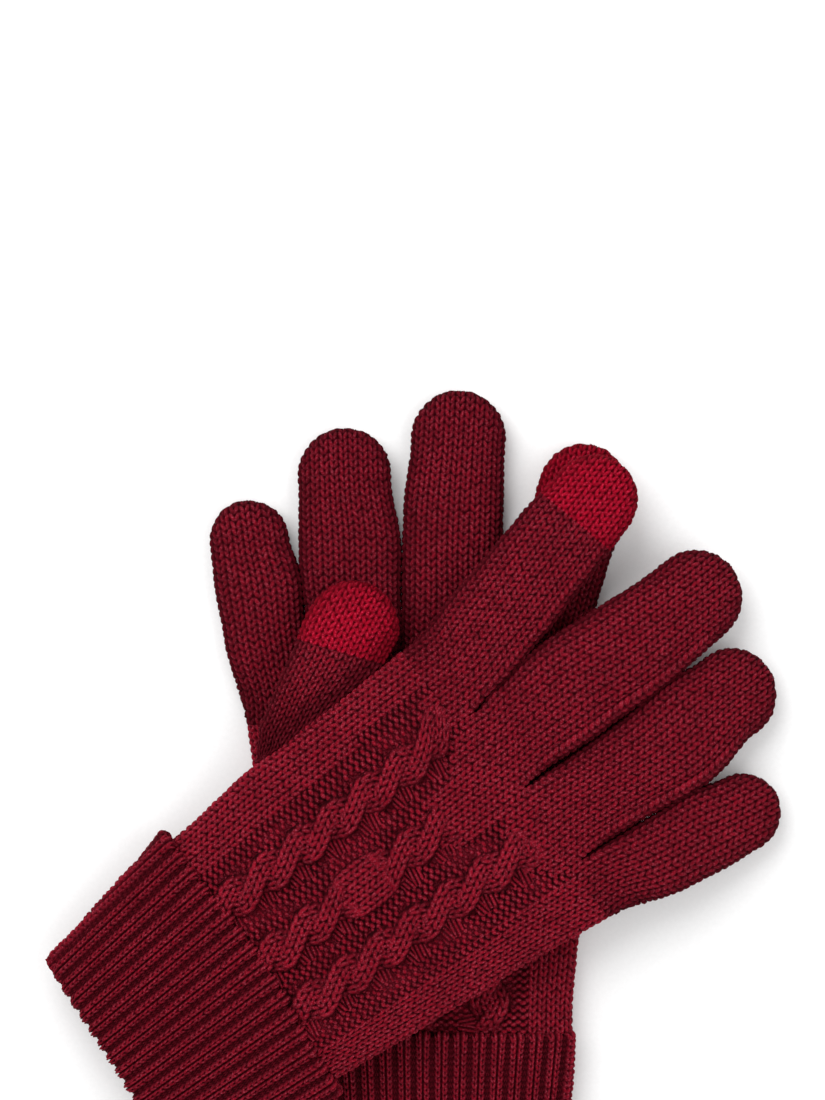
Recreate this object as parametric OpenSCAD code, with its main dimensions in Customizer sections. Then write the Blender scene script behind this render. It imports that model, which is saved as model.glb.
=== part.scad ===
// A pair of knitted gloves with turned-up ribbed cuffs, laid flat one across the other.
// The left glove lies on the table, back up, with its fingers towards +Y.
// The right glove lies across it, back up, and sags over it to the table on both sides.
// The origin is on the table under the middle of the left palm, and +Z is up.
// Each glove is drawn along its own +Y from its wrist, with its thumb towards its own -X.
// The left one is mirrored.

/* [Hand] */
// Half-width of the hand at the wrist
wrist_half = 38.2; // [36:0.1:40]
// Distance from the wrist to the finger roots
palm_len = 90; // [86:1:94]
// Reach of the knuckles from the middle line, on the index finger's side
knuckle_index = 41; // [40:0.5:43]
// Reach of the knuckles from the middle line, on the little finger's side
knuckle_little = 51.8; // [51:0.1:54]
// Thickness of a glove that lies flat, a little puffed
glove_t = 10; // [9:0.5:10]
// Thickness of one layer of knitting
ply = 1.8; // [1.5:0.1:1.9]

/* [Cables] */
// Height that the cables stand above the back of the hand
cable_rise = 1.6; // [0.8:0.1:1.8]
// Half-width of one cable
cable_half = 6.4; // [5:0.1:7]
// Place of the first cable across the hand
cable_first = -15.7; // [-18:0.1:-14]
// Distance from one cable to the next
cable_pitch = 18.7; // [17:0.1:19]

/* [Cuff] */
// Length of the cuff when it is turned up
cuff_len = 46; // [40:1:50]
// Thickness of the inner layer of the cuff, lying flat
cuff_t = 9.2; // [8.5:0.1:9.5]
// Half-width of the inner layer at the fold
fold_half = 35.2; // [33:0.1:36]
// Half-width of the turned-up layer at its free edge
free_half = 43; // [41:0.1:44]
// Room between the turned-up layer and the inner one
turnup_gap = 0.3; // [0.3:0.1:0.5]

/* [Fingers] */
// Root of the index finger: place across the hand and half-width
index_root = [-28.7, 12.2]; // [-60:0.1:60]
// Root of the middle finger
middle_root = [-3.8, 11.6]; // [-60:0.1:60]
// Root of the ring finger
ring_root = [20.8, 11.8]; // [-60:0.1:60]
// Root of the little finger
little_root = [42.8, 9]; // [-60:0.1:60]
// Round end of the index finger: its centre across and along the hand, and its radius
index_end = [-41.3, 150, 12.2]; // [-60:0.1:170]
// Round end of the middle finger
middle_end = [-4, 158, 13]; // [-60:0.1:170]
// Round end of the ring finger
ring_end = [23.5, 149.5, 12.8]; // [-60:0.1:170]
// Round end of the little finger
little_end = [49, 131, 11]; // [-60:0.1:170]
// Room between a finger's root and the hand
root_gap = 0.4; // [0.3:0.1:0.6]
// Length of the touch-screen yarn at a fingertip
touch_len = 20; // [16:1:24]

/* [Thumb] */
// Root of the thumb: across, along and half-width
thumb_root = [-36, 34, 8]; // [-60:0.5:60]
// Round end of the thumb: across, along and radius
thumb_end = [-54.4, 77.5, 12.6]; // [-60:0.1:90]
// Side of the hand that the thumb lies against
thumb_side = -41.6; // [-43:0.1:-41.5]
// Start and end of the opening from the thumb into the palm
thumb_door = [47, 62]; // [46:1:70]

/* [Pile] */
// Place of the right glove's wrist, from the left glove's
right_wrist_shift = [-48.6, 20.3]; // [-60:0.1:60]
// Turn of the right glove
right_turn = -52; // [-54:0.5:-50]
// Height of the right palm over the table
palm_pile = 12.5; // [12.3:0.1:14]
// Extra height where it crosses the left cuff
over_cuff = 1.8; // [1.7:0.1:2.5]
// Lower height where it crosses the left fingers
under_fingers = 1.5; // [0:0.1:1.6]
// Height of the right cuff at its middle
cuff_rest = 11.9; // [11.9:0.1:13]
// Rise of the right cuff towards the fingers, for each millimetre
cuff_pitch = 0.06; // [0.04:0.01:0.07]
// Rise of the right cuff towards its little finger's side, for each millimetre
cuff_roll = 0.15; // [0.15:0.01:0.16]

/* [Hidden] */
left_wrist = [0, -palm_len / 2];
right_wrist = left_wrist + right_wrist_shift;
turnup_lift = ply + turnup_gap;
turnup_t = cuff_t + 2 * turnup_lift;
cuff_middle = turnup_t / 2;
fold_lip = ply;
cable_count = 3;
cable_span = [8, 84];
taper = 20;
settle = 45;
door_margin = 0.4;
web_start = 4;
stall_start = 13;
burgundy = [0.36, 0.05, 0.10];
touch_red = [0.55, 0.02, 0.09];

// ---- Heights of a glove over the table ----

function ease(t) = let (u = min(max(t, 0), 1)) u * u * (3 - 2 * u);
function ramp(v, low, high) = ease((v - low) / (high - low));
function turned(p, a) = [p.x * cos(a) - p.y * sin(a), p.x * sin(a) + p.y * cos(a)];

// Height of the left glove's back at q, measured from its wrist, run out to the table each side
function pile(q) =
    (palm_pile + over_cuff * (1 - ramp(q.y, 0, 22)) - under_fingers * ramp(q.y, 95, 115))
    * ramp(q.x, -118, -44) * (1 - ramp(q.x, 52, 104));
function cuff_plane(p) = cuff_rest + cuff_pitch * p.y + cuff_roll * p.x;

// Height of the underside of a glove at p, in the glove's own plan
function lie(p, on_top) = !on_top ? 0 :
    let (s = ramp(p.y, 0, settle))
    cuff_plane(p) * (1 - s) + pile(right_wrist_shift + turned(p, right_turn)) * s;

// ---- Flattened tubes ----

// Outline of a flattened tube, over the top from its right edge and back underneath.
// It is n steps across the top.
function outline(left, right, t, n) =
    let (r = min(t / 2, 0.42 * (right - left)), run = right - left - 2 * r)
    concat(
        [for (i = [0 : n]) [right - r - run * i / n, r]],
        [for (a = [120 : 30 : 240]) [left + r + r * cos(a), r * sin(a)]],
        [for (i = [0 : 2]) [left + r + run * i / 2, -r]],
        [for (a = [-60 : 30 : 60]) [right - r + r * cos(a), r * sin(a)]]
    );

// Place of the leftmost point in an outline of so many points
function leftmost(count) = count - 11;

// A ring of points: the outline set up at c, with its width along u and its middle at height z
function ring(c, u, left, right, t, z, on_top, n = 2) = [
    for (q = outline(left, right, t, n))
        let (p = c + u * q.x) [p.x, p.y, z + q.y + lie(p, on_top)]
];

// A solid through rings of equally many points, joined end to end or closed by a cap at each end
module loft(rings, joined) {
    n = len(rings[0]);
    m = len(rings);
    last = joined ? m - 1 : m - 2;
    sides = [
        for (k = [0 : last]) for (i = [0 : n - 1])
            let (j = (i + 1) % n, a = k * n, b = ((k + 1) % m) * n)
            each [[a + i, b + j, a + j], [a + i, b + i, b + j]]
    ];
    caps = joined ? [] : [
        for (i = [1 : n - 2])
            let (f = leftmost(n), a = (f + i) % n, b = (a + 1) % n, e = (m - 1) * n)
            each [[f, a, b], [e + f, e + b, e + a]]
    ];
    polyhedron([for (r = rings) each r], concat(sides, caps), convexity = 6);
}

// ---- Fingers: each is [root, half-width, centre of its round end, radius, swell, side limit] ----

function lengthwise(root, end) = (end - root) / norm(end - root);

// A ring round a finger, s along it from its root, inset from its outer surface
function finger_ring(f, s, inset, on_top) =
    let (
        root = f[0], half = f[1], end = f[2], r = f[3] - inset, swell = f[4],
        d = lengthwise(root, end), reach = norm(end - root),
        over = max(s - reach, 0),
        round_half = sqrt(max(r * r - over * over, 0.6)),
        body_half = half + (f[3] - half) * s / reach + swell * sin(180 * s / reach) - inset,
        w = s > reach ? round_half : body_half,
        bend = ramp(s, 0, 14),
        across = [1 - bend + bend * d.y, -bend * d.x],
        u = across / norm(across),
        c = root + d * s,
        t = (glove_t - 2 * inset) * sqrt(min(w / r, 1))
    )
    ring(c, u, -w, min(w, (f[5] - c.x) / u.x - inset), t, glove_t / 2, on_top);

// Steps along a finger from one place to another, closer together round its end
function steps(f, from, to, count) =
    let (reach = norm(f[2] - f[0]), rest = min(to, reach), r = to - reach)
    concat(
        [for (i = [0 : count]) from + (rest - from) * i / count],
        to > reach ? [for (a = [24, 46, 64, 82]) reach + r * sin(a)] : []
    );
function finger_rings(f, from, to, inset, on_top, count = 3) =
    [for (s = steps(f, from, to, count)) finger_ring(f, s, inset, on_top)];
function reversed(v) = [for (i = [len(v) - 1 : -1 : 0]) v[i]];

// A finger's tube from one place to another, open at both ends
module sleeve(f, from, to, on_top) {
    outer = finger_rings(f, from, to, 0, on_top);
    inner = finger_rings(f, from, to, ply, on_top);
    loft(concat(outer, reversed(inner)), true);
}

// A finger's tube from one place to its round end, open at its root
module stall(f, from, on_top) {
    full = norm(f[2] - f[0]) + f[3];
    outer = finger_rings(f, from, full, 0, on_top);
    inner = finger_rings(f, from, full - ply, ply, on_top);
    loft(concat(reversed(inner), outer), false);
}

function finger(root, end, swell) =
    [[root[0], palm_len + root_gap], root[1], [end[0], end[1]], end[2], swell, 1000];
function touch_start(f) = norm(f[2] - f[0]) + f[3] - touch_len;

index = finger(index_root, index_end, 1.6);
middle = finger(middle_root, middle_end, 0.8);
ring_one = finger(ring_root, ring_end, 0);
little = finger(little_root, little_end, 0.9);
thumb = [[thumb_root[0], thumb_root[1]], thumb_root[2], [thumb_end[0], thumb_end[1]],
    thumb_end[2], 0, thumb_side];

// ---- Thumb: its tube lies against the side of the hand and opens into the palm ----

// Clear space through the walls between the thumb and the palm, from x for a width
module door(x, width, on_top) {
    low = lie([thumb_side, thumb_door[0]], on_top);
    high = lie([thumb_side, thumb_door[1]], on_top);
    room = glove_t - 2 * ply - 2 * door_margin;
    translate([x, thumb_door[0], max(low, high) + ply + door_margin])
        cube([width, thumb_door[1] - thumb_door[0], room - abs(high - low)]);
}

module thumb_tube(on_top) {
    outer = finger_rings(thumb, web_start, touch_start(thumb), 0, on_top, 8);
    inner = finger_rings(thumb, stall_start, touch_start(thumb), ply, on_top, 6);
    difference() {
        loft(concat(outer, reversed(inner)), false);
        door(thumb_side - 2 * ply, 2 * ply + 2, on_top);
    }
}

// ---- Hand ----

function cable_height(p) =
    cable_rise * ramp(p.y, cable_span[0], cable_span[0] + 5)
    * (1 - ramp(p.y, cable_span[1] - 5, cable_span[1]))
    * max([
        for (k = [0 : cable_count - 1])
            1 - ramp(abs(p.x - cable_first - k * cable_pitch), cable_half - 3, cable_half)
    ]);

function hand_ring(y, inset, on_top) =
    let (
        up = 1 - ramp(y, 0, taper),
        left = -wrist_half - (knuckle_index - wrist_half) * y / palm_len + inset,
        right = wrist_half + (knuckle_little - wrist_half) * y / palm_len - inset,
        t = glove_t + (cuff_t - glove_t) * up - 2 * inset,
        middle = glove_t / 2 + (cuff_middle - glove_t / 2) * up,
        plain = ring([0, y], [1, 0], left, right, t, middle, on_top, 32)
    )
    [for (p = plain)
        let (high = p.z > middle + lie(p, on_top) + t / 2 - 0.01 && inset == 0)
        p + [0, 0, high ? cable_height(p) : 0]];

module hand_tube(on_top) {
    rows = [0, 8, 13, 20, 32, 45, 62, 79, 84, palm_len];
    outer = [for (y = rows) hand_ring(y, 0, on_top)];
    inner = [for (y = rows) hand_ring(y, ply, on_top)];
    loft(concat(outer, reversed(inner)), true);
}

module hand(on_top) {
    difference() {
        hand_tube(on_top);
        door(thumb_side - 1, 2 * ply + 3, on_top);
        if (!on_top) translate([-80, -10, -2]) cube([160, palm_len + 20, 2]);
    }
}

// ---- Cuff: the inner layer goes on from the hand, and the outer one is folded up over it ----

function cuff_ring(y, at_wrist, at_fold, t, on_top) =
    let (half = at_wrist + (at_fold - at_wrist) * -y / cuff_len)
    ring([0, y], [1, 0], -half, half, t, cuff_middle, on_top);

inner_end = -cuff_len + fold_lip + turnup_gap;

module cuff(on_top) {
    loft([
        cuff_ring(0, wrist_half, fold_half, cuff_t, on_top),
        cuff_ring(inner_end, wrist_half, fold_half, cuff_t, on_top),
        cuff_ring(inner_end, wrist_half - ply, fold_half - ply, cuff_t - 2 * ply, on_top),
        cuff_ring(0, wrist_half - ply, fold_half - ply, cuff_t - 2 * ply, on_top)
    ], true);
}

module turnup(on_top) {
    fold_out = fold_half + turnup_lift + 0.4;
    hollow = turnup_t - 2 * ply;
    lip = cuff_t - 2 * ply;
    loft([
        cuff_ring(0, free_half, fold_out, turnup_t, on_top),
        cuff_ring(-cuff_len + 2, free_half, fold_out, turnup_t, on_top),
        cuff_ring(-cuff_len, free_half, fold_out - 1, turnup_t - 3, on_top),
        cuff_ring(-cuff_len, wrist_half - ply, fold_half - ply, lip, on_top),
        cuff_ring(-cuff_len + fold_lip, wrist_half - ply, fold_half - ply, lip, on_top),
        cuff_ring(-cuff_len + fold_lip, free_half - ply, fold_out - ply, hollow, on_top),
        cuff_ring(0, free_half - ply, fold_out - ply, hollow, on_top)
    ], true);
}

// ---- Where each glove lies ----

module left() { translate(left_wrist) mirror([1, 0, 0]) children(); }
module right() { translate(right_wrist) rotate(right_turn) children(); }

module left_hand() { color(burgundy) left() hand(false); }
module left_cuff() { color(burgundy) left() cuff(false); }
module left_turnup() { color(burgundy) left() turnup(false); }
module left_thumb() { color(burgundy) left() thumb_tube(false); }
module left_thumb_tip() { color(touch_red) left() stall(thumb, touch_start(thumb), false); }
module left_index_finger() { color(burgundy) left() sleeve(index, 0, touch_start(index), false); }
module left_index_tip() { color(touch_red) left() stall(index, touch_start(index), false); }
module left_middle_finger() { color(burgundy) left() stall(middle, 0, false); }
module left_ring_finger() { color(burgundy) left() stall(ring_one, 0, false); }
module left_little_finger() { color(burgundy) left() stall(little, 0, false); }

module right_hand() { color(burgundy) right() hand(true); }
module right_cuff() { color(burgundy) right() cuff(true); }
module right_turnup() { color(burgundy) right() turnup(true); }
module right_thumb() { color(burgundy) right() thumb_tube(true); }
module right_thumb_tip() { color(touch_red) right() stall(thumb, touch_start(thumb), true); }
module right_index_finger() { color(burgundy) right() sleeve(index, 0, touch_start(index), true); }
module right_index_tip() { color(touch_red) right() stall(index, touch_start(index), true); }
module right_middle_finger() { color(burgundy) right() stall(middle, 0, true); }
module right_ring_finger() { color(burgundy) right() stall(ring_one, 0, true); }
module right_little_finger() { color(burgundy) right() stall(little, 0, true); }

left_hand();
left_cuff();
left_turnup();
left_thumb();
left_thumb_tip();
left_index_finger();
left_index_tip();
left_middle_finger();
left_ring_finger();
left_little_finger();
right_hand();
right_cuff();
right_turnup();
right_thumb();
right_thumb_tip();
right_index_finger();
right_index_tip();
right_middle_finger();
right_ring_finger();
right_little_finger();
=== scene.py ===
"""A pair of knitted gloves, laid one across the other: every stitch is in the mesh.

Each glove is made in its own plan, in millimetres, along +y from its wrist and with its thumb towards -x.
It is then laid on the table (the left one, mirrored) or over the left one (the right one).
"""

import math

import bpy
import numpy as np
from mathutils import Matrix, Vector


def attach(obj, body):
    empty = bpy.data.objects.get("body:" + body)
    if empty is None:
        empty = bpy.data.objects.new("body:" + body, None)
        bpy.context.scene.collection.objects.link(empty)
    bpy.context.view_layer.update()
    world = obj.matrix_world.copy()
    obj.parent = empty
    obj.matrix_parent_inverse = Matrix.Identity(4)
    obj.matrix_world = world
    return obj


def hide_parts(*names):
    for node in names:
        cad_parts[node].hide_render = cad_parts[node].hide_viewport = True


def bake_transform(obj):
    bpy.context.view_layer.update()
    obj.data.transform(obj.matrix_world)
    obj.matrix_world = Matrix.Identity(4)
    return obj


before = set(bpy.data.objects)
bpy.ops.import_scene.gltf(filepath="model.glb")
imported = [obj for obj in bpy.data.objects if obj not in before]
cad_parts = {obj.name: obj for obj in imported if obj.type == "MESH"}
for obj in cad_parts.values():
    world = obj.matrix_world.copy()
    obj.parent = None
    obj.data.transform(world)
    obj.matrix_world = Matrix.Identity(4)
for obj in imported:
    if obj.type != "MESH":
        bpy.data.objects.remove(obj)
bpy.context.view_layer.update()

MM = 0.001

# ---- The hand, as in the CAD ----
WRIST_HALF = 38.2
PALM_LEN = 90.0
KNUCKLE_LITTLE = 51.8
GLOVE_T = 10.0
PLY = 1.8
ROOT_Y = 90.4
STALLS_FROM = 84.0
TAPER = 20.0
SIDE_OF_HAND = -41.2
# How square the sections of the flattened tubes are: 2 is an ellipse
HAND_POWER = 3.2
FINGER_POWER = 2.45

# ---- The cuff ----
CUFF_LEN = 46.0
CUFF_T = 9.2
FOLD_HALF = 35.2
FREE_HALF = 43.0
TURNUP_LIFT = 2.1
TURNUP_T = CUFF_T + 2 * TURNUP_LIFT
CUFF_MIDDLE = TURNUP_T / 2
# The cuff's inner layer reaches this far past the wrist, and has this many rows of points
CUFF_OVERLAP = 0.2
CUFF_ROWS = 130
# The turn-up's fold is this round, and its free edge is here, this long and this thick to each side
FOLD_ROLL = 1.7
FREE_EDGE = -1.2
EDGE_LONG = 0.75
EDGE_HALF = 0.6

# ---- The pile ----
LEFT_WRIST = (0.0, -PALM_LEN / 2)
RIGHT_SHIFT = (-48.6, 20.3)
RIGHT_TURN = math.radians(-52)
PALM_PILE = 12.5
OVER_CUFF = 1.8
UNDER_FINGERS = 1.5
CUFF_REST = 11.9
CUFF_PITCH = 0.06
CUFF_ROLL = 0.15
SETTLE = 45.0

# ---- The knitting ----
WALE = 2.75  # width of a column of stitches
COURSE = 1.95  # height of a row of stitches
RIB_COURSE = 1.6  # and of one in the cuffs
# One yarn leg of a stitch: lean in radians, half of its width and of its length,
# and its place from the wale's middle as a share of a wale
LEG_LEAN = 0.4
LEG_HALF = 0.61
LEG_LONG = 1.42
LEG_PLACE = 0.245
RELIEF = 0.95  # how far a stitch stands out
RIB_PAIRS = 16  # ribs across one side of the cuff
RIB_RISE = 0.75  # how far a rib stands over its valley
KNIT_SHARE = 0.76  # of a rib and its valley, how much is rib
BEND_LEN = 16  # how far past where the stalls begin a point on each finger lies, near its root; that point is worked out but not used
# Painted shade on the finger stalls, darkest on the lower glove's: their stitches' painted light values are
# multiplied by these
FINGER_PAINTED_SHADE = {"left": 0.86, "right": 0.96}
SAMPLE = 0.25  # between the points over the top of a skin
HIDDEN_SAMPLE = 0.36  # the same for the cuff's inner layer, which the turn-up covers
COARSE = 0.5  # and for every skin underneath
TUCK = 0.95  # how far a skin is inside the CAD, for its stitches to fill

# ---- The cables: where each runs, and where its strands cross ----
CABLE_PLACES = ((-16.2, -16.0), (1.9, 2.6), (17.8, 21.2))
CABLE_ENDS = (81.0, 66.0, 79.0)
CABLE_START = 2.0
CROSS_EVERY = 11.45
CROSS_FROM = 3.2
CROSS_HALF = 5.7
LEAF = (27.0, 48.5)
LEAF_SPREAD = 1.4
LEAF_SINK = 2.2
STRAND_SWING = 2.75
STRAND_HALF = 3.05
STRAND_BODY = 1.65
STRAND_LIFT = 1.0
PILLOW_SHARE = 0.12
PILLOW_HALF = 5.7
WALE_PLACES = ((-15.7, -15.7), (3.0, 3.0), (20.0, 25.0))
WALE_NUMBERS = (9.3, 16.2, 24.0)
BACK_WALES = 34.0
PURL_SINK = 0.8
# Beyond the middle cable, the middle of the back is plain from here on, this far to each side
PLAIN_FROM = 60
PLAIN_HALF = 8.3
# Loose strands beside a crossing: they begin this far from the cable's middle line, are this long at least
# and up to so much more, and lie this far to each side of a level just below the crossing
LOOSE_FROM = 3
LOOSE_LEN = 3.8
LOOSE_MORE = 2.2
LOOSE_HALF = 3.4
LOOSE_BELOW = 0.6
# The hollows where the strands of a cable part, sunk and darkened with painted shade: place across and along,
# from the crossing, and size
HOLLOW_ACROSS = 5.2
HOLLOW_ALONG = 4.6
HOLLOW_WIDTH = 1.3
HOLLOW_LENGTH = 1.2
CHANNEL_ENDS = (-28.5, -14.6, 8.8, 33.0)


# ---- Small functions ----


def ease(t):
    u = np.clip(t, 0, 1)
    return u * u * (3 - 2 * u)


def ramp(v, low, high):
    return ease((v - low) / (high - low))


def mix(a, b, share):
    return a + (b - a) * share


def chance(i, j, salt):
    """A steady number from 0 to 1 for each stitch."""
    v = np.sin(i * 12.9898 + j * 78.233 + salt * 37.719) * 43758.5453
    return v - np.floor(v)


def turned(x, y, angle):
    c, s = math.cos(angle), math.sin(angle)
    return x * c - y * s, x * s + y * c


# ---- How high a glove lies, as in the CAD ----


def pile(qx, qy):
    top = PALM_PILE + OVER_CUFF * (1 - ramp(qy, 0, 22)) - UNDER_FINGERS * ramp(qy, 95, 115)
    return top * ramp(qx, -118, -44) * (1 - ramp(qx, 52, 104))


def lie(x, y, on_top):
    """Height of a glove's underside over the table."""
    if not on_top:
        return np.zeros_like(x)
    plane = CUFF_REST + CUFF_PITCH * y + CUFF_ROLL * x
    tx, ty = turned(x, y, RIGHT_TURN)
    over = pile(RIGHT_SHIFT[0] + tx, RIGHT_SHIFT[1] + ty)
    return mix(plane, over, ramp(y, 0, SETTLE))


# ---- Stitches: each gives its height, from 0 to 1, and a tone for its own bit of yarn ----


def bump(across, along, half, long):
    return np.sqrt(np.clip(1 - (across / half) ** 2 - (along / long) ** 2, 0, 1))


def take_higher(best, height, tone):
    higher = height > best[0]
    return np.where(higher, height, best[0]), np.where(higher, tone, best[1])


def knit(w, c):
    """Plain knitting: each course gives each wale a V of two yarn legs that open towards the fingertips."""
    column = np.floor(w)
    side = w - column - 0.5
    leg = column * 2 + (side > 0)
    best = (np.zeros_like(w), np.full_like(w, 0.5))
    for step in (-1, 0, 1):
        row = np.floor(c) + step
        own = chance(leg, row, 1)
        dx = (np.abs(side) - LEG_PLACE - 0.03 * (own - 0.5)) * WALE
        dy = (c - row - 0.5 + 0.16 * (chance(leg, row, 2) - 0.5)) * COURSE
        lean = LEG_LEAN + 0.14 * (chance(leg, row, 4) - 0.5)
        across = dx * np.cos(lean) - dy * np.sin(lean)
        along = dx * np.sin(lean) + dy * np.cos(lean)
        height = bump(across, along, LEG_HALF, LEG_LONG) * (0.88 + 0.24 * chance(leg, row, 3))
        best = take_higher(best, height, own)
    groove = 1 - 0.3 * np.abs(2 * side) ** 5
    return best[0] * groove, best[1]


def purl(w, c):
    """The back of plain knitting: rows of short arcs of yarn, up over each wale and down between wales."""
    best = (np.zeros_like(w), np.full_like(w, 0.5))
    for centre, place, arch, size in ((0.5, 0.25, 0.15, 1.0), (0.0, 0.75, -0.15, 0.9)):
        column = np.floor(w - centre + 0.5)
        dx = (w - column - centre) * WALE
        for step in (-1, 0, 1):
            row = np.floor(c) + step
            own = chance(column, row, 5 + place)
            dy = (c - row - place) * COURSE - arch * (1 - (dx / (0.5 * WALE)) ** 2)
            height = bump(dy, dx, 0.66, 1.02) * (0.8 + 0.35 * own) * size
            best = take_higher(best, height, own)
    return best


def stretched(c, lean):
    """Yarn pulled out level between two columns."""
    place = np.mod(c + lean, 1.0)
    row = np.floor(c + lean)
    height = np.sqrt(np.clip(1 - ((place - 0.5) / 0.4) ** 2, 0, 1)) * (0.75 + 0.3 * chance(row, row, 8))
    return height, chance(row, row, 9)


def rib(w, c):
    """Two raised wales of knitting with a crease between them, then two narrow ones of purl."""
    turn = np.mod(w / 4, 1)
    is_front = turn < KNIT_SHARE
    within = np.where(is_front, 2 * turn / KNIT_SHARE, 2 + 2 * (turn - KNIT_SHARE) / (1 - KNIT_SHARE))
    own = np.floor(w / 4) * 4 + within
    from_middle = turn - KNIT_SHARE / 2
    ridge = ease(0.5 + 0.5 * np.cos(from_middle * 2 * math.pi))
    crease = np.exp(-((from_middle / 0.06) ** 2))
    front, front_tone = knit(own, c)
    back, back_tone = purl(own, c)
    height = np.where(is_front, front, 0.6 * back) * (1 - 0.6 * crease)
    tone = np.where(is_front, front_tone, back_tone)
    # Painted shade in the rib's valleys and in its crease
    painted_light = (0.62 + 0.38 * ridge) * (0.18 + 0.82 * height) * (1 - 0.4 * crease)
    return RIB_RISE * ridge - 0.5 * crease + RELIEF * height, painted_light, tone


# ---- The back of the hand ----


def hand_edges(y):
    """The hand's sides: the index finger's side swells above the wrist, and the other one spreads."""
    left = -39.2 - 2.2 * ramp(y, 4, 36) + 0.3 * ramp(y, 40, 84)
    right = WRIST_HALF + (KNUCKLE_LITTLE - WRIST_HALF) * y / PALM_LEN - 0.8 * ramp(y, 30, 70)
    return left, right


def cable_middle(k, y):
    """Where a cable's middle line runs. The one by the index finger bends towards it at its end."""
    low, high = CABLE_PLACES[k]
    bend = 7 * ramp(y, 68, 86) ** 2 if k == 0 else 0
    return low + (high - low) * y / STALLS_FROM - bend


def wale_middle(k, y):
    low, high = WALE_PLACES[k]
    return low + (high - low) * y / STALLS_FROM


def wale_at(x, y):
    """Number of the wale at a place on the back of the hand, counted from the index finger's side."""
    left, right = hand_edges(y)
    marks = [left, *[wale_middle(k, y) for k in range(3)], right]
    numbers = [0.0, *WALE_NUMBERS, BACK_WALES]
    w = np.full_like(x, 0.0)
    for i in range(4):
        inside = (x >= marks[i]) if i else np.ones_like(x, bool)
        share = (x - marks[i]) / (marks[i + 1] - marks[i])
        w = np.where(inside, numbers[i] + share * (numbers[i + 1] - numbers[i]), w)
    return w


def nearest_crossing(k, y):
    """The crossings run in level rows. The middle cable misses one row out, and that leaves a wide leaf."""
    number = np.round((y - CROSS_FROM) / CROSS_EVERY)
    if k == 1:
        number = np.where(number == 3, np.where(y < sum(LEAF) / 2, 2, 4), np.minimum(number, 5))
    return CROSS_FROM + CROSS_EVERY * number


def leaf(k, y):
    """How far the middle cable has spread into its leaf, from 0 to 1."""
    if k != 1:
        return np.zeros_like(y)
    return np.sin(math.pi * np.clip((y - LEAF[0]) / (LEAF[1] - LEAF[0]), 0, 1)) ** 2


def strand(x, y, middle, slope, lift):
    """One strand of a cable: two wales of knitting on a raised, rounded rope."""
    q = x - middle
    stretch = 1 + slope * slope
    across = q / np.sqrt(stretch)
    along = y + slope * q / stretch
    round_top = np.sqrt(np.clip(1 - np.abs(across / STRAND_HALF) ** 2.6, 0, 1))
    height, tone = knit(across / WALE + 60, along / COURSE)
    on = np.abs(across) < STRAND_HALF
    total = STRAND_BODY * round_top + lift + RELIEF * height * (0.55 + 0.45 * round_top)
    # Painted shade in the creases beside the rope: its painted light falls off towards its edges
    painted_light = ease(round_top * 1.7) * (0.1 + 0.9 * height)
    return np.where(on, total, -9.0), painted_light, tone


def pillow(q, y, share, wide):
    """The four wales between two crossings, side by side."""
    round_top = np.sqrt(np.clip(1 - np.abs(q / (PILLOW_HALF * wide)) ** 3, 0, 1))
    height, tone = knit(q / WALE + 60, y / COURSE)
    on = (np.abs(q) < PILLOW_HALF * wide) & (share > 0.05)
    total = STRAND_BODY * round_top * share + RELIEF * height * (0.55 + 0.45 * round_top)
    # Painted shade at the pillow's edges, as beside a strand
    return np.where(on, total, -9.0), ease(round_top * 1.7) * (0.1 + 0.9 * height), tone


def purl_borders(y):
    return -26 - 4 * ramp(y, 15, 84), 30 + 5 * ramp(y, 0, 84)


def add_cables(x, y, total, painted_light, tone):
    """Lays the three cables over the back of the hand, each a pillow and two crossing strands."""
    for k in range(3):
        near = nearest_crossing(k, y)
        t = np.clip((y - near) / CROSS_HALF, -1, 1) * math.pi / 2
        spread_out = leaf(k, y)
        shift = STRAND_SWING * (0.45 * np.sin(t) + 0.55 * t / (math.pi / 2))
        shift = shift * (1 + 0.55 * LEAF_SPREAD * spread_out)
        slope = STRAND_SWING / CROSS_HALF * (0.45 * math.pi / 2 * np.cos(t) + 0.55)
        slope = slope * (1 - ramp(np.abs(y - near), CROSS_HALF - 1.2, CROSS_HALF + 0.2))
        lift = STRAND_LIFT * np.cos(t)
        fade = ramp(y, CABLE_START - 2, CABLE_START + 3)
        fade = fade * (1 - ramp(y, CABLE_ENDS[k] - 3, CABLE_ENDS[k] + 5))
        middle = cable_middle(k, y)
        wide = 1 + 0.2 * LEAF_SPREAD * spread_out
        ropes = [pillow(x - middle, y, PILLOW_SHARE * (1 - np.cos(t)) + 0.85 * spread_out, wide)]
        for sign in (1, -1):
            height = sign * lift - LEAF_SINK * spread_out
            rope, rope_light, rope_tone = strand(x, y, middle - sign * shift, -sign * slope, height)
            # Painted shade on the strand that goes under, darkest at the crossing
            shaded = 1 - 0.35 * np.cos(t) if sign < 0 else 1
            ropes.append((rope, rope_light * shaded, rope_tone))
        for rope, rope_light, rope_tone in ropes:
            rope = rope * fade - 1.2 * (1 - fade)
            over = rope > total
            total = np.where(over, rope, total)
            painted_light = np.where(over, rope_light, painted_light)
            tone = np.where(over, rope_tone, tone)
    return total, painted_light, tone


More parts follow.
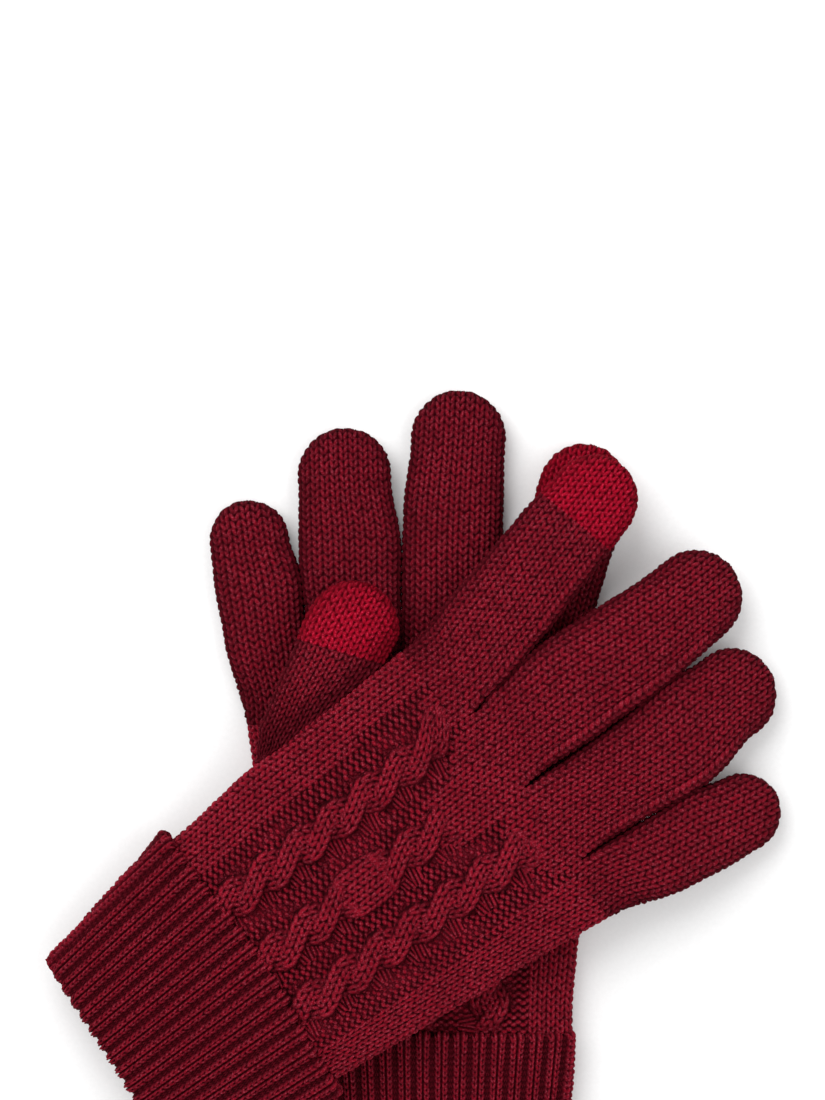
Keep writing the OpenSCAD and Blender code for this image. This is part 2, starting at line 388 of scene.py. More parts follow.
def back_of_hand(x, y, w, c):
    """Height in millimetres, painted light value (low for painted shade between the stitches) and tone of the
    back of the hand.
    """
    height, tone = knit(w, c)
    total = RELIEF * height
    painted_light = 0.1 + 0.88 * height
    low, high = purl_borders(y)
    wale_x = x - (np.mod(w, 1) - 0.5) * WALE
    plain_half = mix(STRAND_HALF + STRAND_SWING, PLAIN_HALF, ramp(y, PLAIN_FROM, PLAIN_FROM + 8))
    from_end = np.min([np.abs(wale_x - place) for place in CHANNEL_ENDS], axis=0)
    from_end = from_end - mix(12, 0.6, ramp(y, 67, 83))
    from_plain = np.abs(wale_x - cable_middle(1, y)) - np.where(y > PLAIN_FROM, plain_half, -9)
    channel = (wale_x > low) & (wale_x < high) & (from_end < 0) & (from_plain > 0)
    back, back_tone = purl(w, c)
    sunk = ramp(x, low - 0.5, low + 2) * (1 - ramp(x, high - 2, high + 0.5)) * (1 - ramp(y, 76, 84))
    sunk = sunk * (1 - ramp(from_end, -2, 0.5))
    beyond = ramp(np.abs(x - cable_middle(1, y)), plain_half - 0.5, plain_half + 1.5)
    sunk = sunk * (1 - (y > PLAIN_FROM) * (1 - beyond))
    notch = np.zeros_like(x)
    for k in range(3):
        near = nearest_crossing(k, y)
        q = x - cable_middle(k, y)
        running = y < CABLE_ENDS[k] - 3
        reach = LOOSE_LEN + LOOSE_MORE * chance(np.floor(c), np.floor(c), 11)
        level = y - near + LOOSE_BELOW
        beside = channel & running & (q > LOOSE_FROM) & (q < LOOSE_FROM + reach)
        beside = beside & (np.abs(level) < LOOSE_HALF)
        pulled, pulled_tone = stretched(c * 1.6, 0.16 * (q - 4) * np.sign(level))
        back = np.where(beside, pulled, back)
        back_tone = np.where(beside, pulled_tone, back_tone)
        for sign in (1, -1):
            from_across = (q - sign * HOLLOW_ACROSS) / HOLLOW_WIDTH
            from_along = (y - near + sign * HOLLOW_ALONG) / HOLLOW_LENGTH
            hollow = np.exp(-(from_across**2) - from_along**2)
            notch = np.maximum(notch, np.where(running & (leaf(k, y) < 0.05), hollow, 0))
    total = np.where(channel, RELIEF * back * (1 - 0.5 * notch), total) - PURL_SINK * sunk * (1 + notch)
    # Painted shade in the hollows where the strands part
    painted_light = np.where(channel, (0.07 + 0.86 * back) * (1 - 0.8 * notch), painted_light)
    tone = np.where(channel, back_tone, tone)
    return add_cables(x, y, total, painted_light, tone)


# ---- Sections of flattened tubes ----


def section_top(left, right, thick, power, count=121):
    """Points over the top half of a flattened tube, from its right edge to its left."""
    angle = np.linspace(0, math.pi, count)
    cosine = np.cos(angle)
    x = (left + right) / 2 + (right - left) / 2 * np.sign(cosine) * np.abs(cosine) ** (2 / power)
    z = thick / 2 * np.abs(np.sin(angle)) ** (2 / power)
    return x, z


def spread(x, z, shares):
    """Points at given shares of a line's length, and how much longer it is there than its plan."""
    arc = np.concatenate([[0], np.cumsum(np.hypot(np.diff(x), np.diff(z)))])
    at = shares * arc[-1]
    px = np.interp(at, arc, x)
    pz = np.interp(at, arc, z)
    peak = np.interp((x[0] + x[-1]) / 2, x[::-1], arc[::-1])
    excess = np.abs(at - peak) - np.abs(px - (x[0] + x[-1]) / 2)
    return px, pz, excess


def columns(top_len, bottom_len, fine=SAMPLE):
    """Shares of the way round a tube: over the top finely, and underneath coarsely."""
    top = np.linspace(0, 1, int(top_len / fine), endpoint=False)
    bottom = np.linspace(0, 1, int(bottom_len / COARSE), endpoint=False)
    return top, bottom


def hand_half(x, y, power):
    """Half the hand's thickness at x, as its section has it."""
    left, right = hand_edges(y)
    half = (right - left) / 2 - TUCK
    share = np.clip(np.abs((x - (left + right) / 2) / half), 0, 1)
    return (GLOVE_T / 2 - TUCK) * (1 - share**power) ** (1 / power)


# ---- Building one tube: its outer skin is knitted, its inner skin is plain and closes it ----


class Skin:
    """Rows of points round a tube, with the wale and course at each."""

    def __init__(self):
        self.points = []
        self.wales = []
        self.courses = []

    def add(self, points, wales, courses):
        self.points.append(points)
        self.wales.append(wales)
        self.courses.append(courses)

    def arrays(self):
        return np.array(self.points), np.array(self.wales), np.array(self.courses)


def close_round(top, bottom):
    """Top half from the right edge to the left, then the bottom half back to the right."""
    return np.concatenate([top, bottom])


def ring(tops, shares, wale_of):
    """One ring round a tube from its top half. tops is (x, z); wale_of gives the wale at x on the top."""
    x, z = tops
    tx, tz, t_extra = spread(x, z, shares[0])
    bx, bz, b_extra = spread(x, z, 1 - shares[1])
    middle = (x[0] + x[-1]) / 2
    right_wale = wale_of(x[:1])[0] + spread(x, z, np.zeros(1))[2][0] / WALE
    top_wale = wale_of(tx) + np.sign(tx - middle) * t_extra / WALE
    bottom_wale = 2 * right_wale - wale_of(bx) - np.sign(bx - middle) * b_extra / WALE
    px = close_round(tx, bx)
    pz = close_round(tz, -bz)
    return px, pz, close_round(top_wale, bottom_wale)


def normals_of(p):
    around = np.roll(p, -1, axis=1) - np.roll(p, 1, axis=1)
    along = np.gradient(p, axis=0)
    n = np.cross(along, around)
    return n / np.maximum(np.linalg.norm(n, axis=2, keepdims=True), 1e-9)


def grid_faces(rows, cols, first=0):
    """Quads between rows of points, closed round each row."""
    i = np.arange(rows - 1)[:, None] * cols + first
    j = np.arange(cols)[None, :]
    k = (j + 1) % cols
    return np.stack([i + j, i + cols + j, i + cols + k, i + k], axis=2).reshape(-1, 4)


def joining_faces(start_a, start_b, cols):
    j = np.arange(cols)
    k = (j + 1) % cols
    return np.stack([start_a + j, start_b + j, start_b + k, start_a + k], axis=1)


def fan_faces(start, cols, tip):
    j = np.arange(cols)
    return np.stack([start + j, np.full(cols, tip), start + (j + 1) % cols], axis=1)


def make_mesh(name, points, quads, fans, tone, painted_light, on_top):
    """A mesh in metres in the row frame, from points in a glove's own plan."""
    x, y, z = points[:, 0], points[:, 1], points[:, 2]
    z = z + lie(x, y, on_top)
    if on_top:
        wx, wy = turned(x, y, RIGHT_TURN)
        wx = wx + LEFT_WRIST[0] + RIGHT_SHIFT[0]
        wy = wy + LEFT_WRIST[1] + RIGHT_SHIFT[1]
    else:
        wx, wy = LEFT_WRIST[0] - x, LEFT_WRIST[1] + y
        quads = quads[:, ::-1]
        fans = [f[:, ::-1] for f in fans]
    place = np.stack([wx, wy, z], axis=1) * MM
    mesh = bpy.data.meshes.new(name)
    mesh.vertices.add(len(place))
    mesh.vertices.foreach_set("co", place.astype(np.float32).ravel())
    corners = np.concatenate([quads.ravel(), *[f.ravel() for f in fans]]).astype(np.int32)
    sizes = np.concatenate([np.full(len(quads), 4), *[np.full(len(f), 3) for f in fans]])
    starts = np.concatenate([[0], np.cumsum(sizes)[:-1]]).astype(np.int32)
    mesh.loops.add(len(corners))
    mesh.loops.foreach_set("vertex_index", corners)
    mesh.polygons.add(len(sizes))
    mesh.polygons.foreach_set("loop_start", starts)
    mesh.polygons.foreach_set("use_smooth", np.ones(len(sizes), bool))
    # Each point's tone, and its painted light value, which paints shade between the stitches
    for label, values in (("tone", tone), ("painted_light", painted_light)):
        mesh.attributes.new(label, "FLOAT", "POINT")
        mesh.attributes[label].data.foreach_set("value", values.astype(np.float32))
    mesh.update(calc_edges=True)
    mesh.validate()
    piece = bpy.data.objects.new(name, mesh)
    bpy.context.scene.collection.objects.link(piece)
    return piece


def unevenness(x, y):
    """The slight waves of a soft fabric that lies slack."""
    long_waves = 0.22 * np.sin(x * 0.21 + 1.3 * np.sin(y * 0.07)) * np.sin(y * 0.16 + 0.9)
    return long_waves + 0.12 * np.sin(x * 0.5 - y * 0.31)


def build(name, outer, inner, pattern, on_top, capped, shade=1.0):
    """Joins an outer skin, raised by its stitches, to a plain inner one. A capped tube has a closed end."""
    base, wales, courses = outer.arrays()
    raised, painted_light, tone = pattern(base, wales, courses)
    skin = base + normals_of(base) * raised[:, :, None]
    rows, cols = wales.shape
    lining, _, _ = inner.arrays()
    inner_rows = len(lining)
    points = np.concatenate([skin.reshape(-1, 3), lining.reshape(-1, 3)])
    start = rows * cols
    quads = [grid_faces(rows, cols), grid_faces(inner_rows, cols, start)]
    quads.append(joining_faces(start + (inner_rows - 1) * cols, 0, cols))
    fans = []
    extra_tone = [0.5] * (inner_rows * cols)
    extra_light = [0.45] * (inner_rows * cols)
    if capped:
        tips = np.array([skin[-1].mean(axis=0), lining[0].mean(axis=0)])
        fans.append(fan_faces((rows - 1) * cols, cols, len(points))[:, ::-1])
        fans.append(fan_faces(start, cols, len(points) + 1))
        points = np.concatenate([points, tips])
        extra_tone += [0.5, 0.5]
        extra_light += [0.5, 0.5]
    else:
        quads.append(joining_faces((rows - 1) * cols, start, cols))
    tones = np.concatenate([tone.ravel(), extra_tone])
    # The painted light values are multiplied by shade, which is painted shade on the finger stalls
    painted_lights = np.concatenate([painted_light.ravel() * shade, extra_light])
    return make_mesh(name, points, np.concatenate(quads), fans, tones, painted_lights, on_top)


# ---- The hand ----


def hand_section(y, inset):
    """Top half of the hand's section and the height of its middle."""
    up = 1 - ramp(y, 0, TAPER)
    left, right = hand_edges(y)
    thick = GLOVE_T + (CUFF_T - GLOVE_T) * up - 2 * inset
    middle = GLOVE_T / 2 + (CUFF_MIDDLE - GLOVE_T / 2) * up
    return section_top(left + inset, right - inset, thick, HAND_POWER), middle


HAND_SHARES = columns(97, 96)


def hand_pattern(base, w, c):
    x, y = base[:, :, 0], base[:, :, 1]
    total, painted_light, tone = back_of_hand(x, y, w, c)
    under = np.zeros_like(x, bool)
    under[:, len(HAND_SHARES[0]) :] = True
    plain, plain_tone = knit(w, c)
    waves = unevenness(x, y) * (1 - ramp(y, 70, 84))
    total = np.where(under, RELIEF * plain, total + waves)
    return total, np.where(under, plain, painted_light), np.where(under, plain_tone, tone)


def make_hand(side, on_top):
    outer, inner = Skin(), Skin()
    for y in np.linspace(0, STALLS_FROM, int(STALLS_FROM / SAMPLE) + 1):
        tops, middle = hand_section(y, TUCK)
        px, pz, w = ring(tops, HAND_SHARES, lambda x: wale_at(x, np.full_like(x, y)))
        outer.add(np.stack([px, np.full_like(px, y), pz + middle], axis=1), w, np.full_like(w, y / COURSE))
    for y in np.linspace(STALLS_FROM, 0, 15):
        tops, middle = hand_section(y, PLY)
        px, pz, w = ring(tops, HAND_SHARES, np.zeros_like)
        inner.add(np.stack([px, np.full_like(px, y), pz + middle], axis=1), w, w)
    piece = build(f"{side}_hand_knit", outer, inner, hand_pattern, on_top, capped=False)
    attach(piece, f"{side}_hand")
    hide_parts(f"{side}_hand")
    return piece


# ---- Fingers: root and end of the middle line, radius of the round end, and reach to each side along it ----

FINGERS = {
    "index": dict(
        root=(-28.7, ROOT_Y), end=(-41.3, 150), radius=12.2, wales=(0, 9), touch=True,
        left=((0, 12.6), (20, 12.8), (45, 12.8)), right=((0, 12.6), (10, 13.6), (24, 13.6), (42, 12.9)),
    ),
    "middle": dict(
        root=(-3.8, ROOT_Y), end=(-4, 158), radius=13, wales=(9, 18), touch=False,
        left=((0, 12.4), (7, 14.2), (24, 15.4), (42, 14)), right=((0, 11.9), (25, 13.2), (46, 13.8)),
    ),
    "ring": dict(
        root=(20.8, ROOT_Y), end=(23.5, 149.5), radius=12.8, wales=(18, 27), touch=False,
        left=((0, 12.4), (30, 12.3)), right=((0, 12.1), (14, 12.5), (36, 14.3)),
    ),
    "little": dict(
        root=(42.8, ROOT_Y), end=(49, 131), radius=11, wales=(27, 34), touch=False,
        left=((0, 9.8), (14, 10.9), (30, 11.1)), right=((0, 9.2), (20, 10.9), (32, 11.4)),
    ),
}
TOUCH_LEN = 20.0
ROUND_OFF = (-5, 11)

# How each glove's fingers differ from the plan that both share: how far the end is moved across and along,
# and how much fuller the finger is on its left and its right, halfway along it and nearer its end
SPREAD = {
    "left": {
        "index": ((-0.5, -1.5), (-1.8, 0), (0, 0)), "middle": ((-3.8, 4.3), (0.1, 0), (0, 0.4)),
        "ring": ((-0.2, 2.8), (1.9, -1.0), (1.5, 0)), "little": ((0.2, 3.3), (0.8, 0.1), (1.2, 0)),
    },
    "right": {
        "index": ((0, 0), (0, 0), (0, 0)), "middle": ((0.8, -2.2), (0.7, 0.1), (0, 0.2)),
        "ring": ((0.2, -2.3), (-0.2, 0.8), (1.3, 1.3)), "little": ((1.8, -1.4), (0.3, 0.4), (0.9, 0)),
    },
}
# How far the side towards the little finger stands up on the upper glove's fingers, in millimetres
LIP = {"index": 0.7, "middle": 1.5, "ring": 1.3, "little": 0}
LIP_PLACE = 1.9  # how far in from that side the raised line runs
LIP_WIDTH = 1.2
# Where the later place that SPREAD makes fuller is, and how long it is, as shares of a finger's reach
FULLER_AT = 0.74
FULLER_WIDTH = 0.18
# Share of a finger's reach where its halfway fullness ends and the later one begins to fade out
FULLER_TO = 0.85

# The thumb is lower from this place across on, under the hand's side
THUMB_LOW_FROM = -52
# Where the thumb's knitting starts along its middle line, and in which course
THUMB_START = 0.5
THUMB_COURSE = 20.0
# A point on the thumb this far out from the hand's side and this far up the hand is worked out but not used
THUMB_BEND_LEN = 8
THUMB_BEND_AT = 55


def unit(v):
    return v / np.linalg.norm(v)


def reach_of(f):
    """Length of a finger from its root to the middle of its round end."""
    return float(np.linalg.norm(np.array(f["end"], float) - np.array(f["root"], float)))


def reach_at(marks, s, reach, radius):
    """Smooth line through a finger's widths, level where its round end begins."""
    places = [m[0] for m in marks] + [reach]
    widths = [m[1] for m in marks] + [radius]
    s = min(max(s, places[0]), places[-1])
    i = max(k for k in range(len(places) - 1) if places[k] <= s)
    share = (s - places[i]) / (places[i + 1] - places[i])
    return widths[i] + (widths[i + 1] - widths[i]) * float(ease(share))


def finger_section(f, s, inset):
    """Centre, side to side direction and top half of a finger's section, s along it from its root."""
    root, end = np.array(f["root"], float), np.array(f["end"], float)
    reach = reach_of(f)
    d = unit(end - root)
    bend = float(ramp(s, 0, 14))
    across = unit(np.array([1 - bend + bend * d[1], -bend * d[0]]))
    radius = f["radius"]
    if s > reach:
        half = math.sqrt(max((radius - inset) ** 2 - (s - reach) ** 2, 0.3))
        left = right = half
    else:
        halfway = math.sin(math.pi * min(max(s / reach, 0) / FULLER_TO, 1))
        later = math.exp(-(((s / reach - FULLER_AT) / FULLER_WIDTH) ** 2))
        later = later * float(1 - ramp(s / reach, FULLER_TO, 1))
        more = [halfway * a + later * b for a, b in zip(*f["fuller"])]
        left = reach_at(f["left"], s, reach, radius) + more[0] - inset
        right = reach_at(f["right"], s, reach, radius) + more[1] - inset
    centre = root + (d * s if s > 0 else np.array([0.0, s]))
    thick = (GLOVE_T - 2 * inset) * math.sqrt(min(min(left, right) / (radius - inset), 1))
    x, z = section_top(-left, right, thick, FINGER_POWER)
    own = float(ramp(s, *ROUND_OFF))
    if own < 1:
        y = ROOT_Y + s
        at_left, at_right = boundary(f["wales"][0]), boundary(f["wales"][1])
        start = float(ramp(s, STALLS_FROM - ROOT_Y, 0))
        tuck_left = inset - TUCK if at_left > -30 else inset
        tuck_right = inset - TUCK if at_right < 40 else inset
        low = mix(at_left + tuck_left - root[0], -left, start)
        high = mix(at_right - tuck_right - root[0], right, start)
        flat_x = np.linspace(high, low, len(x) - 2)
        flat_z = hand_half(flat_x + centre[0], min(y, PALM_LEN), HAND_POWER) - (inset - TUCK)
        flat_z = np.maximum(flat_z, 0)
        flat_x = np.concatenate([[high], flat_x, [low]])
        flat_z = np.concatenate([[0], flat_z, [0]])
        shares = np.linspace(0, 1, len(x))
        ox, oz, _ = spread(x, z, shares)
        rx, rz, _ = spread(flat_x, flat_z, shares)
        x, z = mix(rx, ox, own), mix(rz, oz, own)
    return centre, across, d, x, z


def boundary(wale):
    """Place across the hand of a wale's edge where the fingers begin."""
    left, right = hand_edges(STALLS_FROM)
    marks = [left, *[wale_middle(k, STALLS_FROM) for k in range(3)], right]
    return float(np.interp(wale, [0.0, *WALE_NUMBERS, BACK_WALES], marks))


def finger_rows(f, start, stop):
    """Places along a finger, evenly along its surface and round its end."""
    reach = reach_of(f)
    straight = min(stop, reach)
    rows = list(np.linspace(start, straight, int((straight - start) / SAMPLE) + 1)) if start < reach else []
    if stop > reach:
        radius = stop - reach
        count = int(radius * math.pi / 2 / SAMPLE)
        rows += [reach + radius * math.sin(math.pi / 2 * k / count) for k in range(1, count)]
    return rows


def finger_wales(f, s, inset, centre, edge_low, edge_high):
    """Gives the wale at a place across a finger, s along it. At the root it goes on from the hand's wales."""
    own = float(ramp(s, *ROUND_OFF))
    low, high = f["wales"]

    def round_the_end(v):
        return (low + high) / 2 + v / (2 * (f["radius"] - inset)) * (high - low)

    def along(v):
        linear = low + (v - edge_low) / max(edge_high - edge_low, 1e-6) * (high - low)
        if own >= 1 or f.get("thumb"):
            return linear
        at_root = wale_at(v + centre[0], np.full_like(v, min(ROOT_Y + s, STALLS_FROM)))
        return mix(at_root, linear, own)

    return round_the_end if s > reach_of(f) else along


def finger_skin(f, rows, inset, shares, first_course):
    """Rows of points round a finger, and the course that its last row is in."""
    skin = Skin()
    course = first_course
    before = None
    reach = reach_of(f)
    for s in rows:
        centre, across, d, x, z = finger_section(f, s, inset)
        wale_of = finger_wales(f, s, inset, centre, x[-1], x[0])
        px, pz, w = ring((x, z), shares, wale_of)
        top = float(np.max(z))
        if before is not None:
            course += math.hypot(s - before[0], top - before[1]) / COURSE
        before = (s, top)
        tilt = f.get("tilt", 0) * float(ramp(s, 10, 30)) * (1 - float(ramp(s, 42, 58)))
        plan = centre[None, :] + across[None, :] * px[:, None] + d[None, :] * (px * tilt)[:, None]
        x_plan = plan[:, 0]
        lip = f.get("lip", 0) * float(ramp(s, 2, 12) * (1 - ramp(s, reach - 16, reach)))
        height = pz + lip * np.exp(-(((px - x[0] + LIP_PLACE) / LIP_WIDTH) ** 2)) * (pz > 0)
        if f.get("thumb"):
            down = ramp(x_plan, THUMB_LOW_FROM, SIDE_OF_HAND)
            height = pz * (1 - 0.28 * down) - 0.12 * GLOVE_T * down
            side_limit = hand_edges(plan[:, 1])[0] + mix(0.6, -0.4, ramp(plan[:, 1], 58, 66))
            x_plan = np.minimum(x_plan, side_limit - inset + TUCK)
        points = np.stack([x_plan, plan[:, 1], height + GLOVE_T / 2], axis=1)
        skin.add(points, w, np.full_like(w, course))
    return skin, course


def finger_pattern(base, w, c):
    height, tone = knit(w, c)
    soft = 0.6 * unevenness(base[:, :, 0], base[:, :, 1]) * ramp(base[:, :, 1], STALLS_FROM + 3, 100)
    # Painted shade along a finger's sides, where it meets its neighbours: its painted light falls towards the
    # tube's middle plane
    shade = 0.5 + 0.5 * ramp(np.abs(base[:, :, 2] - GLOVE_T / 2), 0.8, 4)
    return RELIEF * height + soft, (0.16 + 0.76 * height) * shade, tone


def make_finger(side, name, f, on_top, start, first_course):
    """The stall of one finger, and its touch-screen tip if it has one."""
    reach = reach_of(f)
    full = reach + f["radius"] - TUCK
    top_len = f["radius"] * 2 + 8
    shares = columns(top_len, top_len)
    parts = []
    spans = [(f"{name}_finger" if not f.get("thumb") else name, start, full, True)]
    if f["touch"]:
        split = reach + f["radius"] - TOUCH_LEN
        spans = [(spans[0][0], start, split, False), (f"{name}_tip", split, full, True)]
    course = first_course
    for label, low, high, capped in spans:
        rows = finger_rows(f, low, high)
        outer, course = finger_skin(f, rows, TUCK, shares, course)
        stop = min(high, full - PLY + TUCK)
        inner_rows = [stop + (low - stop) * k / 10 for k in range(11)] if not capped else None
        if capped:
            radius = f["radius"] - PLY
            deep = [reach + radius * math.sin(math.radians(a)) for a in (86, 78, 66, 50, 34, 17)]
            deep = [s for s in deep if s > low]
            rest = min(reach, deep[-1]) if low < reach else low
            inner_rows = deep + [rest + (low - rest) * k / 10 for k in range(11)]
        inner, _ = finger_skin(f, inner_rows, PLY, shares, 0)
        # Painted shade: this darkens the stall's painted light
        shade = FINGER_PAINTED_SHADE[side]
        piece = build(f"{side}_{label}_knit", outer, inner, finger_pattern, on_top, capped, shade)
        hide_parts(f"{side}_{label}")
        parts.append(piece)
    return parts


THUMB = dict(
    root=(-36, 34), end=(-54.4, 77.5), radius=12.6, wales=(0, 9), touch=True, thumb=True, tilt=0.233,
    fuller=((0, 0), (0, 0)),
    left=((0, 5.9), (7, 7.6), (12, 9.0), (34, 10.9)), right=((0, 8), (20, 10), (38, 12.6)),
)


# ---- The cuff ----


def cuff_section(y, inset, at_wrist, at_fold, thick, index_side=0.0):
    half = at_wrist + (at_fold - at_wrist) * -y / CUFF_LEN - inset
    return section_top(-half + index_side, half, thick - 2 * inset, HAND_POWER)


def rib_wale(half):
    return lambda x: 2 * RIB_PAIRS * (x / half + 1)


def cuff_pattern(base, w, c):
    """The stitches lie flatter round the cuff's sides, where the knitting folds over."""
    raised, painted_light, tone = rib(w, c)
    x = np.abs(base[:, :, 0])
    half = x.max(axis=1, keepdims=True)
    return raised * (1 - 0.5 * ramp(x / half, 0.96, 0.995)), painted_light, tone


def make_cuff(side, on_top):
    """The inner layer of the cuff, which goes on from the hand."""
    shares = columns(80, 80, fine=HIDDEN_SAMPLE)
    outer, inner = Skin(), Skin()
    end = -CUFF_LEN + PLY + 0.3
    proud = RIB_RISE + RELIEF
    for y in np.linspace(end, CUFF_OVERLAP, CUFF_ROWS):
        x, z = cuff_section(y, proud - 0.05, WRIST_HALF, FOLD_HALF, CUFF_T)
        px, pz, w = ring((x, z), shares, rib_wale(x[0]))
        points = np.stack([px, np.full_like(px, y), pz + CUFF_MIDDLE], axis=1)
        outer.add(points, w, np.full_like(w, -y / RIB_COURSE))
    for y in np.linspace(CUFF_OVERLAP, end, 12):
        x, z = cuff_section(y, PLY + 0.9, WRIST_HALF, FOLD_HALF, CUFF_T)
        px, pz, w = ring((x, z), shares, rib_wale(x[0]))
        inner.add(np.stack([px, np.full_like(px, y), pz + CUFF_MIDDLE], axis=1), w, w)
    piece = build(f"{side}_cuff_knit", outer, inner, cuff_pattern, on_top, capped=False)
    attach(piece, f"{side}_hand")
    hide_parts(f"{side}_cuff")
    return piece


def drawn_in(y, on_top):
    """How far the turn-up's side by the index finger is drawn in."""
    down = -y / CUFF_LEN
    return 2.4 - 3.8 * (1 - down) ** 3 if on_top else 1.1 + 1.4 * (1 - down)


def skewed(px, y, on_top):
    """The right cuff's fold and free edge don't run quite square across it."""
    down = -y / CUFF_LEN
    if on_top:
        edge = np.interp(px, (-42, -28, -14, 0, 12, 24, 40), (3.0, 3.6, 4.3, 3.8, 2.6, 0.9, -1.0))
        return y - (0.7 + 0.07 * px) * down + edge * (1 - down) ** 3
    return np.full_like(px, y)


def turnup_path():
    """Places (y, inset) from the fold's inside round the fold, up the outside and over the free edge."""
    sunk = RIB_RISE + RELIEF - 0.05
    back = -CUFF_LEN + sunk + FOLD_ROLL
    around = [
        (back - FOLD_ROLL * math.sin(a), sunk + FOLD_ROLL - FOLD_ROLL * math.cos(a))
        for a in np.linspace(math.pi, 0, 26)
    ]
    outside = [(y, sunk) for y in np.arange(back + SAMPLE, FREE_EDGE, SAMPLE)]
    lip = [
        (FREE_EDGE + EDGE_LONG * math.sin(a), sunk + EDGE_HALF - EDGE_HALF * math.cos(a))
        for a in np.linspace(0, math.pi, 12)
    ]
    return around + outside + lip


def make_turnup(side, on_top):
    """The outer layer of the cuff, folded up over the inner one."""
    fold_out = FOLD_HALF + TURNUP_LIFT + 0.4
    shares = columns(98, 96)
    outer, inner = Skin(), Skin()
    path = turnup_path()
    length = 0.0
    for i, (y, inset) in enumerate(path):
        if i:
            length += math.hypot(y - path[i - 1][0], inset - path[i - 1][1])
        x, z = cuff_section(y, inset, FREE_HALF, fold_out, TURNUP_T, drawn_in(y, on_top))
        px, pz, w = ring((x, z), shares, rib_wale(x[0]))
        loose = float(ramp(y, -9, -1))
        frill = 0.35 * np.cos((np.mod(w, 4) - 2 * KNIT_SHARE) * math.pi / 2) + 0.35 * np.sin(px * 0.11 + 1)
        pz = pz + loose * np.where(pz > 0, 0.35 + 0.5 * frill, 0)
        edge = skewed(px, y, on_top) + loose * frill
        outer.add(np.stack([px, edge, pz + CUFF_MIDDLE], axis=1), w, np.full_like(w, length / RIB_COURSE))
    last_y = path[-1][0]
    first_y = path[0][0]
    for k in range(1, 40):
        y = last_y + (first_y + 1.5 - last_y) * k / 40
        x, z = cuff_section(y, PLY + 0.2, FREE_HALF, fold_out, TURNUP_T, drawn_in(y, on_top))
        px, pz, w = ring((x, z), shares, rib_wale(x[0]))
        inner.add(np.stack([px, skewed(px, y, on_top), pz + CUFF_MIDDLE], axis=1), w, w)
    piece = build(f"{side}_turnup_knit", outer, inner, cuff_pattern, on_top, capped=False)
    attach(piece, f"{side}_turnup")
    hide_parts(f"{side}_turnup")
    return piece


# ---- Yarns ----

# How fine each grain is, as a number of its features to the metre
FIBRE_SCALE = 2300
FUZZ_SCALE = 4200
PATCH_SCALE = 70
PAPER_SCALE = 900
FUZZ_HEIGHT = 0.00025


def mix_colours(nodes, links, factor, a, b):
    node = nodes.new("ShaderNodeMix")
    node.data_type = "RGBA"
    for socket, value in ((node.inputs["Factor"], factor), (node.inputs[6], a), (node.inputs[7], b)):
        if isinstance(value, bpy.types.NodeSocket):
            links.new(value, socket)
        else:
            socket.default_value = value
    return node.outputs[2]


def noise(nodes, links, vector, scale, detail, rough=0.55):
    node = nodes.new("ShaderNodeTexNoise")
    node.inputs["Scale"].default_value = scale
    node.inputs["Detail"].default_value = detail
    node.inputs["Roughness"].default_value = rough
    links.new(vector, node.inputs["Vector"])
    return node.outputs["Fac"]


def remap(nodes, links, value, low, high, to_low, to_high):
    node = nodes.new("ShaderNodeMapRange")
    for label, number in (("From Min", low), ("From Max", high), ("To Min", to_low), ("To Max", to_high)):
        node.inputs[label].default_value = number
    links.new(value, node.inputs["Value"])
    return node.outputs["Result"]


def multiplied(nodes, links, a, b):
    node = nodes.new("ShaderNodeMath")
    node.operation = "MULTIPLY"
    links.new(a, node.inputs[0])
    links.new(b, node.inputs[1])
    return node.outputs[0]


def scaled(colour, factor):
    return (*[c * factor for c in colour], 1.0)


